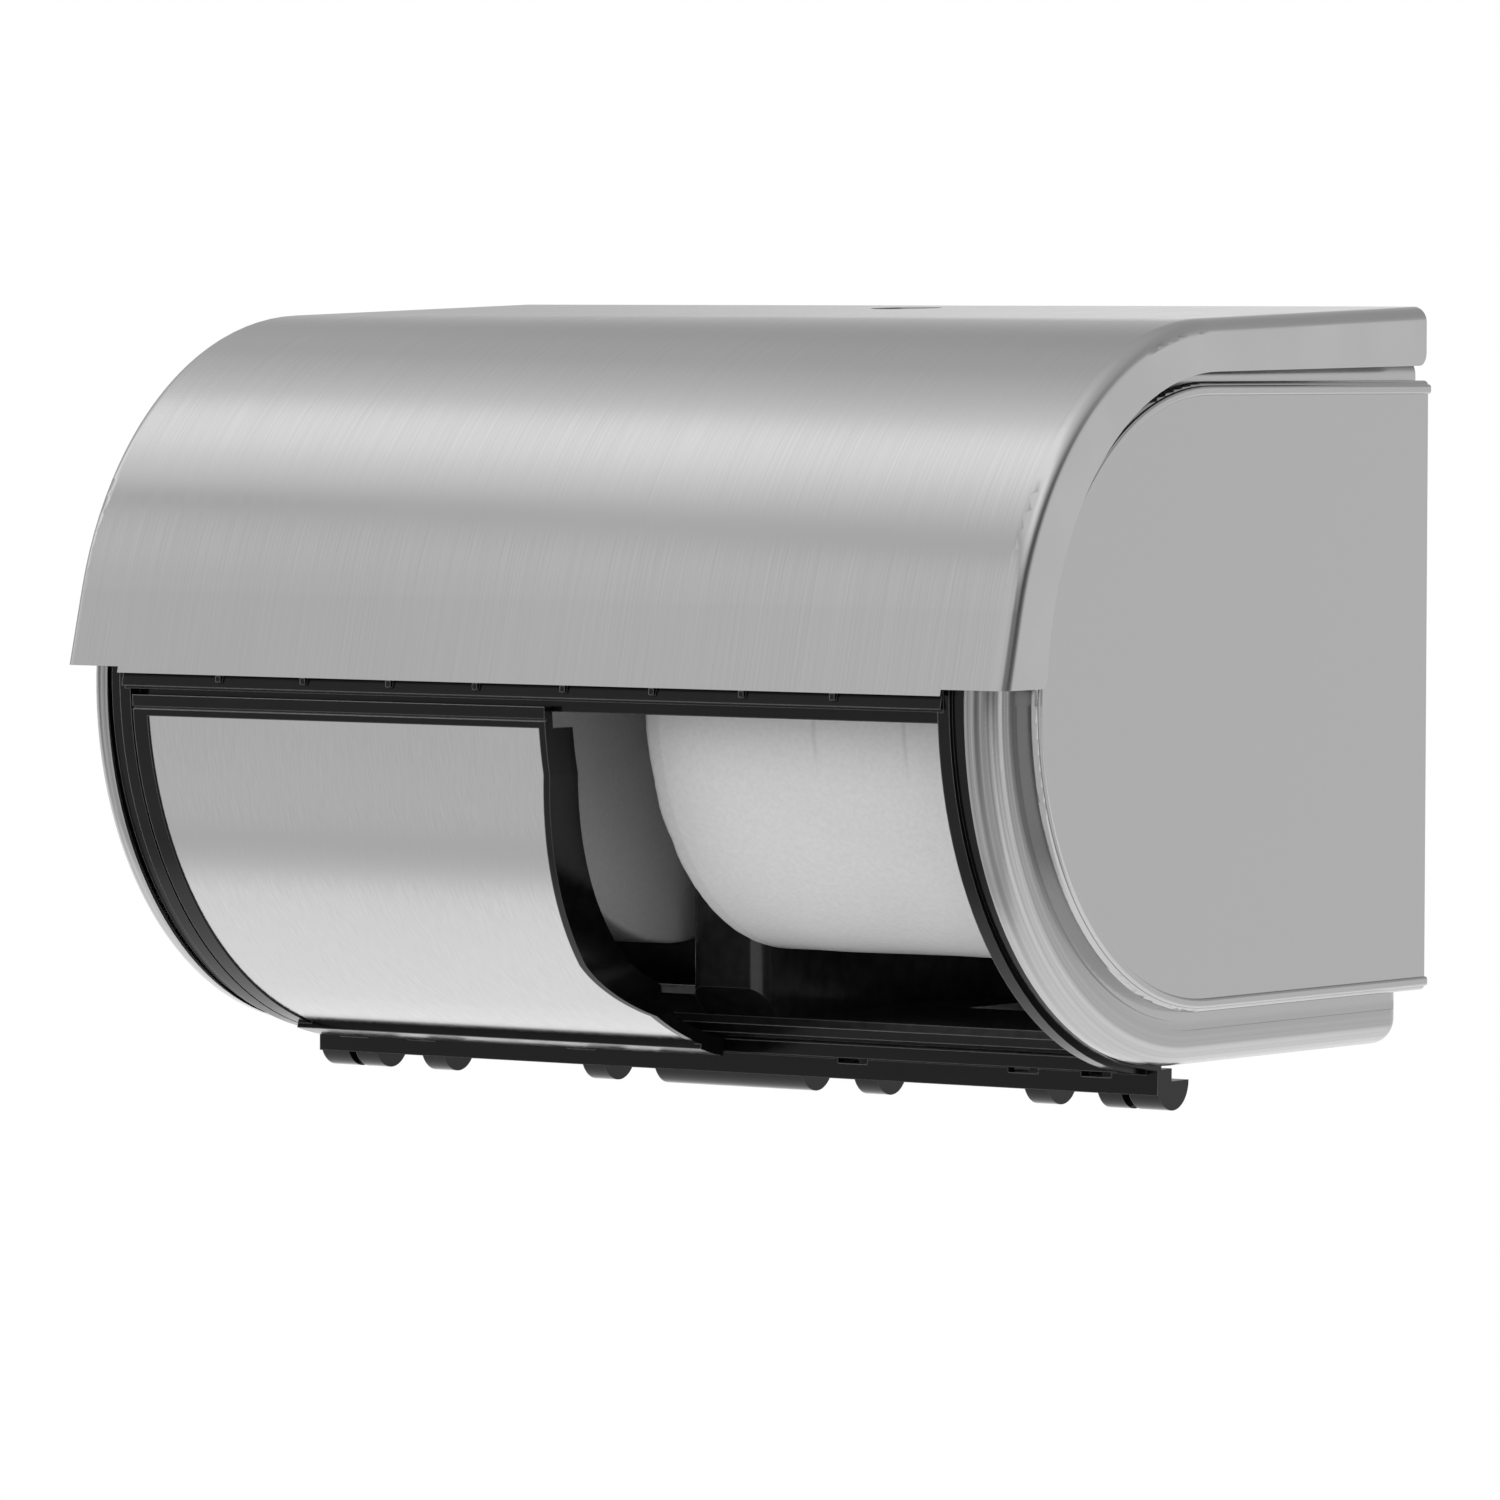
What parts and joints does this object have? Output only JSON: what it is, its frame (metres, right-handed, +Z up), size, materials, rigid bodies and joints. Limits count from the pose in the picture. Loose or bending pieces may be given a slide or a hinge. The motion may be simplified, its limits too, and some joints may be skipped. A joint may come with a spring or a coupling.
{
  "type": "toilet paper dispenser",
  "caption": "Wall dispenser for coreless tissue rolls side by side: curved steel hood hinged at the bottom, sliding front door over one roll, key lock on top, pressed end panels.",
  "frame": {"origin": "on the wall plane, at the middle of the width, level with the axis that both rolls turn on", "axes": "+X to the right as seen from the front, -Y out of the wall towards the user, +Z up"},
  "size_m": [0.257, 0.1814, 0.1795],
  "materials": {
    "steel": "stainless sheet, fine brushed grain running front to back round the curve",
    "black_gloss": "moulded black plastic, glossy",
    "black_inside": "moulded black plastic, satin",
    "tissue": "wound white tissue paper",
    "plated": "zinc plated steel, dull"
  },
  "bodies": {
    "base": {"back_plate": "black_inside", "floor_tray": "black_inside", "center_post": "black_gloss", "left_side_wall": "black_inside", "right_side_wall": "black_inside", "left_end_panel": "steel", "right_end_panel": "steel", "left_inner_hub": "black_inside", "left_outer_hub": "black_inside", "right_inner_hub": "black_inside", "right_outer_hub": "black_inside", "hinge_rod": "plated", "lock_keeper": "plated", "side_screws": "plated", "post_screws": "plated"},
    "cover": {"hood": "steel", "front_frame": "black_gloss", "hood_studs": "plated", "stud_nuts": "plated", "lock_nut": "plated"},
    "door": {"door_carrier": "black_gloss", "door_skin": "steel"},
    "lock": {"lock_barrel": "plated", "lock_cam": "plated"},
    "left_tissue": {"left_roll": "tissue"},
    "right_tissue": {"right_roll": "tissue"}
  },
  "joints": [
    {"name": "cover_swing", "type": "hinge", "parent": "base", "child": "cover", "pos_m": [0, -0.0922, -0.086], "axis": [1, 0, 0], "range_deg": [0, 95]},
    {"name": "door_slide", "type": "slide", "parent": "cover", "child": "door", "axis": [1, 0, 0], "range_m": [0, 0.103]},
    {"name": "lock_turn", "type": "hinge", "parent": "cover", "child": "lock", "pos_m": [0, -0.026, 0.076], "axis": [0, 0, 1], "range_deg": [0, 90]},
    {"name": "left_roll_turn", "type": "hinge", "parent": "base", "child": "left_tissue", "pos_m": [-0.0643, -0.0952, 0], "axis": [1, 0, 0], "continuous": true},
    {"name": "right_roll_turn", "type": "hinge", "parent": "base", "child": "right_tissue", "pos_m": [0.0643, -0.0952, 0], "axis": [1, 0, 0], "continuous": true}
  ]
}
